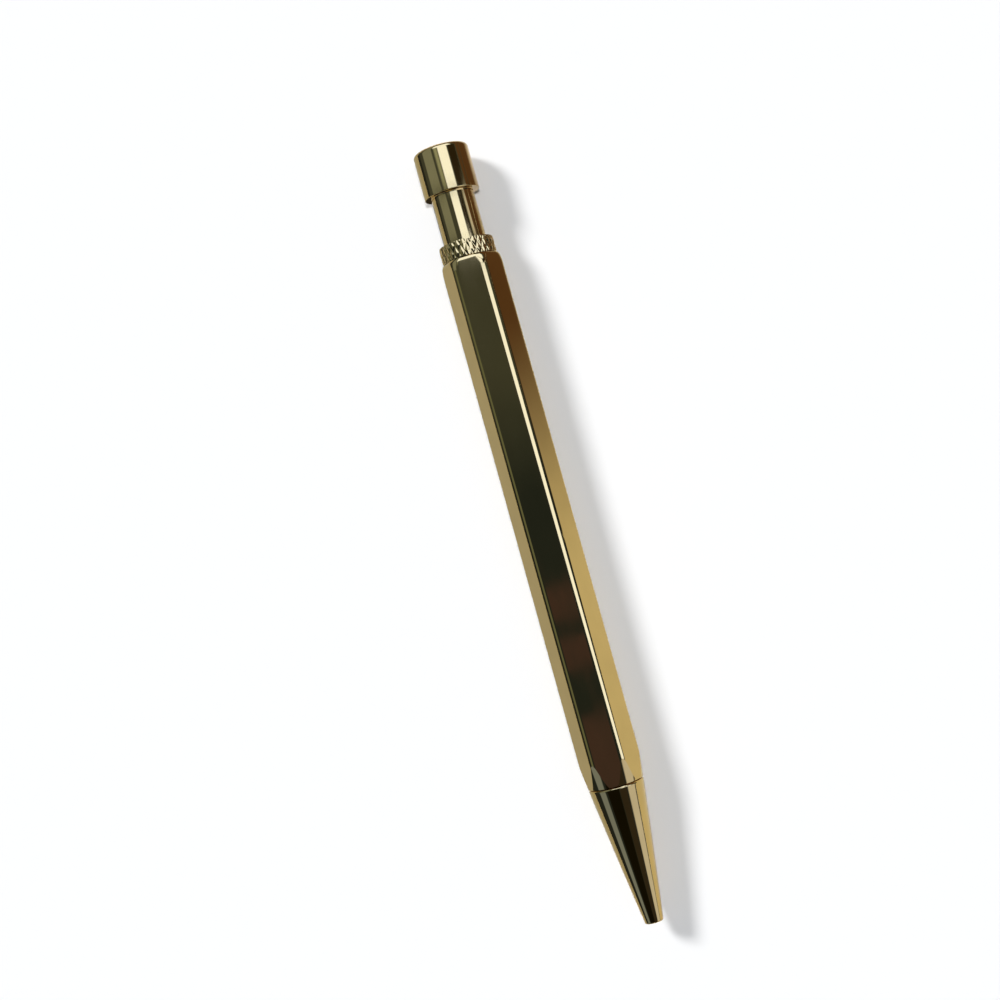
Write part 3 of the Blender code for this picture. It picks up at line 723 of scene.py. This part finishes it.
def edge_fade(tree, distance, softness):
    """Rises from 0 at a card's edge to 1 at a share of its width inside."""
    fold = add_node(tree, "ShaderNodeMath", operation="PINGPONG")
    fold.inputs[1].default_value = 0.5
    tree.links.new(distance, fold.inputs[0])
    fade = add_node(tree, "ShaderNodeMapRange", interpolation_type="SMOOTHSTEP")
    fade.inputs["From Max"].default_value = softness
    tree.links.new(fold.outputs["Value"], fade.inputs["Value"])
    return fade.outputs["Result"]


def card_glow(name, colour, softness):
    """Light of a card, which fades out towards its edges."""
    material, tree, glow, output = glow_material(name)
    glow.inputs["Color"].default_value = (*colour, 1.0)
    place = add_node(tree, "ShaderNodeTexCoord")
    parts = add_node(tree, "ShaderNodeSeparateXYZ")
    tree.links.new(place.outputs["UV"], parts.inputs["Vector"])
    both = add_node(tree, "ShaderNodeMath", operation="MULTIPLY")
    tree.links.new(edge_fade(tree, parts.outputs["X"], softness[0]), both.inputs[0])
    tree.links.new(edge_fade(tree, parts.outputs["Y"], softness[1]), both.inputs[1])
    clear = add_node(tree, "ShaderNodeBsdfTransparent")
    choice = add_node(tree, "ShaderNodeMixShader")
    tree.links.new(both.outputs["Value"], choice.inputs["Fac"])
    tree.links.new(clear.outputs["BSDF"], choice.inputs[1])
    tree.links.new(glow.outputs["Emission"], choice.inputs[2])
    tree.links.new(choice.outputs["Shader"], output.inputs["Surface"])
    return material


def make_card(name, place, colour, softness):
    """A card whose points are given by a function of two shares from 0 to 1."""
    shares = np.linspace(0, 1, CARD_STEPS + 1)
    corners = [(across, along) for across in shares for along in shares]
    faces = []
    for i in range(CARD_STEPS):
        for j in range(CARD_STEPS):
            base = i * (CARD_STEPS + 1) + j
            faces.append((base, base + 1, base + CARD_STEPS + 2, base + CARD_STEPS + 1))
    mesh = bpy.data.meshes.new(name)
    mesh.from_pydata([place(*corner) for corner in corners], [], faces)
    layer = mesh.uv_layers.new(name="card")
    for loop in mesh.loops:
        layer.data[loop.index].uv = corners[loop.vertex_index]
    mesh.materials.append(card_glow(name + "_glow", colour, softness))
    card = bpy.data.objects.new(name, mesh)
    bpy.context.scene.collection.objects.link(card)
    only_in_reflections(card)


def between(limits, share):
    """The value at a share of the way from one limit to the other."""
    return limits[0] + (limits[1] - limits[0]) * share


def slanted(limits, far_limits, along):
    """Limits that change along a card, from those at its near end to those at its far end."""
    return between((limits[0], far_limits[0]), along), between((limits[1], far_limits[1]), along)


def make_high_card(name, right, ahead, colour, softness=(0.06, 0.03), far_right=None):
    """A card round the pen: from and to degrees right of straight up, and degrees towards the button."""
    def place(across, along):
        side = math.radians(between(slanted(right, far_right or right, along), across))
        end = math.radians(between(ahead, along))
        toward = Vector((math.sin(side) * math.cos(end), math.sin(end), math.cos(side) * math.cos(end)))
        return toward * CARD_DISTANCE
    make_card(name, place, colour, softness)


def make_floor_card(name, x_limits, y_limits, colour, softness=(0.1, 0.05), far_x=None, layer=1):
    """A card that lies beside the pen: from and to millimetres along X and Y."""
    def place(across, along):
        x = between(slanted(x_limits, far_x or x_limits, along), across)
        return Vector((x * MM, between(y_limits, along) * MM, FLOOR_CARD_HEIGHT * layer))
    make_card(name, place, colour, softness)


def make_cards():
    """What the plating mirrors, as painted reflections: glowing cards seen only in reflections, with bright
    panels for painted highlights, grey, brown and dark cards for darker bands, and cards on the floor near
    the pen for the floor's reflection and the shade under the head.
    """
    make_high_card("panel_right", (45, 81), (-12.8, 13.6), DAYLIGHT, far_right=(-2, 54))
    make_high_card("panel_right_front", (47, 88), (-78, -13.2), PALE_LIGHT, (0.15, 0.03))
    make_high_card("panel_ring", (-8, 52), (13.6, 14.2), DAYLIGHT, (0.1, 0.05))
    make_high_card("panel_neck", (-6, 36), (14.2, 16.3), DAYLIGHT, (0.1, 0.02))
    make_high_card("panel_rear", (-5, 37), (16.4, 22), DAYLIGHT, (0.1, 0.01))
    make_high_card("panel_rear_high", (-27, 60), (22.1, 62), DAYLIGHT, (0.1, 0.05))
    make_high_card("panel_front", (-45, 40), (-84, -46), WARM_PALE_LIGHT, (0.1, 0.1))
    make_high_card("card_rear", (-24, -2), (16.4, 22), HALF_LIGHT, (0.4, 0.02))
    make_high_card("card_neck_left", (-76, -26), (14.2, 16.3), GREY_LIGHT, (0.1, 0.02))
    make_high_card("card_neck_dark", (37, 57), (14.2, 16.3), COAL_LIGHT, (0.08, 0.02))
    make_high_card("card_neck_pale", (58, 82), (14.2, 16.3), PALE_LIGHT, (0.3, 0.02))
    make_high_card("card_button", (38, 72), (16.4, 22), COAL_LIGHT, (0.1, 0.02))
    make_high_card("card_nose", (-40, 12), (-45.5, -13.2), NIGHT_LIGHT, (0.05, 0.02))
    make_high_card("card_nose_right", (12, 44), (-75, -13.2), DARK_GREY_LIGHT, (0.05, 0.02))
    make_high_card("card_left_rear", (-75, -28), (16.4, 75), GREY_LIGHT, (0.1, 0.005))
    make_high_card("card_left", (-72, -38), (-12.8, 13.6), OLIVE_LIGHT, (0.2, 0.02))
    make_high_card("card_left_front", (-77, -46), (-75, -13.2), SLATE_LIGHT, (0.15, 0.02))
    make_high_card("card_right_rear", (73, 89), (13.9, 70), RED_BROWN_LIGHT, (0.2, 0.02))
    for number, limits in enumerate(((-3.7, -1.9), (-6.0, -4.3), (-12.0, -7.8))):
        make_high_card(f"card_brown_{number + 1}", (-24, 8), limits, BROWN_LIGHT, (0.1, 0.12))
    # Painted reflections of the floor: glowing cards just above the floor, seen only in the plating, greyer
    # on the left and warmer on the right than the lit floor
    make_floor_card("painted_floor_reflection_left", (-30, -6), (-95, 95), FLOOR_REFLECTION_GREY_LIGHT, (0.08, 0.03))
    make_floor_card("painted_floor_reflection_right", (6, 300), (-300, 62), WARM_PALE_LIGHT, (0.004, 0.03))
    far = DOME_RADIUS / MM
    make_floor_card("dark_left", (-far, -30), (-far, far), DARK_LIGHT, (0.002, 0.002))
    make_floor_card("dark_right", (25, far), (-2, 66), DARK_LIGHT, (0.002, 0.03), (20, far), layer=2)
    make_floor_card("dark_right_front", (70, far), (-45, -1), DARK_LIGHT, (0.002, 0.03), (25, far), layer=2)
    # Painted brown reflections: red-brown glowing cards on the floor to the right, seen only in the plating
    make_floor_card("painted_brown_reflection_far", (20, far), (64, far), RED_BROWN_LIGHT, (0.002, 0.005), layer=2)
    make_floor_card("painted_brown_reflection_right", (5, 40), (-12, 150), RED_BROWN_LIGHT, (0.25, 0.33), layer=3)
    # Painted shade: a dark glowing card under the head, seen only in the plating, where the floor beneath
    # the head lies in shade
    make_floor_card("painted_shade_under_head", (-7, 1), (48, 61), COAL_LIGHT, (0.1, 0.05), layer=2)


def make_sun(name, travel, strength, softness):
    """A soft lamp that lights everything evenly along one direction."""
    lamp = bpy.data.lights.new(name, "SUN")
    lamp.energy = strength
    lamp.angle = math.radians(softness)
    sun = bpy.data.objects.new(name, lamp)
    bpy.context.scene.collection.objects.link(sun)
    sun.rotation_mode = "QUATERNION"
    sun.rotation_quaternion = Vector(travel).to_track_quat("-Z", "Y")
    sun.visible_glossy = False


def make_light():
    """A key lamp from the left, a lamp overhead that shines the way the camera looks, and an even fill."""
    rise = math.radians(KEY_ELEVATION)
    slant = math.radians(KEY_SLANT)
    travel = (math.cos(rise) * math.cos(slant), -math.cos(rise) * math.sin(slant), -math.sin(rise))
    make_sun("key", travel, KEY_STRENGTH, KEY_SOFTNESS)
    make_sun("top", TOP_TRAVEL, TOP_STRENGTH, TOP_SOFTNESS)
    world = bpy.data.worlds.new("studio")
    bpy.context.scene.world = world
    world.use_nodes = True
    tree = world.node_tree
    tree.nodes.clear()
    output = add_node(tree, "ShaderNodeOutputWorld")
    path = add_node(tree, "ShaderNodeLightPath")
    seen = add_node(tree, "ShaderNodeMath", operation="ADD")
    tree.links.new(path.outputs["Is Camera Ray"], seen.inputs[0])
    tree.links.new(path.outputs["Is Glossy Ray"], seen.inputs[1])
    seen_through = add_node(tree, "ShaderNodeMath", operation="ADD", use_clamp=True)
    tree.links.new(seen.outputs["Value"], seen_through.inputs[0])
    tree.links.new(path.outputs["Is Transmission Ray"], seen_through.inputs[1])
    fill = add_node(tree, "ShaderNodeBackground")
    fill.inputs["Color"].default_value = (*FILL_COLOUR, 1.0)
    fill.inputs["Strength"].default_value = FILL_STRENGTH
    backdrop = add_node(tree, "ShaderNodeBackground")
    backdrop.inputs["Color"].default_value = (1.0, 1.0, 1.0, 1.0)
    choice = add_node(tree, "ShaderNodeMixShader")
    tree.links.new(seen_through.outputs["Value"], choice.inputs["Fac"])
    tree.links.new(fill.outputs["Background"], choice.inputs[1])
    tree.links.new(backdrop.outputs["Background"], choice.inputs[2])
    tree.links.new(choice.outputs["Shader"], output.inputs["Surface"])


# Camera that matches the pen's outline in the photograph
CAMERA_PLACE = (27.73 * MM, -2.12 * MM, 275.74 * MM)
CAMERA_LOOK = (-0.12413, 0.03509, -0.99164)
CAMERA_UP = (0.26936, 0.96304, 0.00036)
CAMERA_LENS = 57.22
CAMERA_SENSOR = 36.0
CAMERA_NEAR = 1.0 * MM
CAMERA_FAR = 20.0


def make_camera():
    """The camera at its place, turned to its look and up directions."""
    data = bpy.data.cameras.new("camera")
    data.sensor_width = CAMERA_SENSOR
    data.lens = CAMERA_LENS
    data.clip_start = CAMERA_NEAR
    data.clip_end = CAMERA_FAR
    camera = bpy.data.objects.new("camera", data)
    bpy.context.scene.collection.objects.link(camera)
    back = -Vector(CAMERA_LOOK).normalized()
    right = Vector(CAMERA_UP).cross(back).normalized()
    up = back.cross(right)
    turn = Matrix((right, up, back)).transposed()
    camera.matrix_world = Matrix.Translation(CAMERA_PLACE) @ turn.to_4x4()
    bpy.context.scene.camera = camera


make_barrel()
make_nose_cone()
make_nose_thread()
make_knurled_collar()
make_push_button()
make_return_spring()
make_refill_point()
make_writing_ball()
dress_inner_nodes()
make_floor()
make_dome()
make_cards()
make_light()
make_camera()
bpy.context.scene.view_settings.view_transform = "Standard"
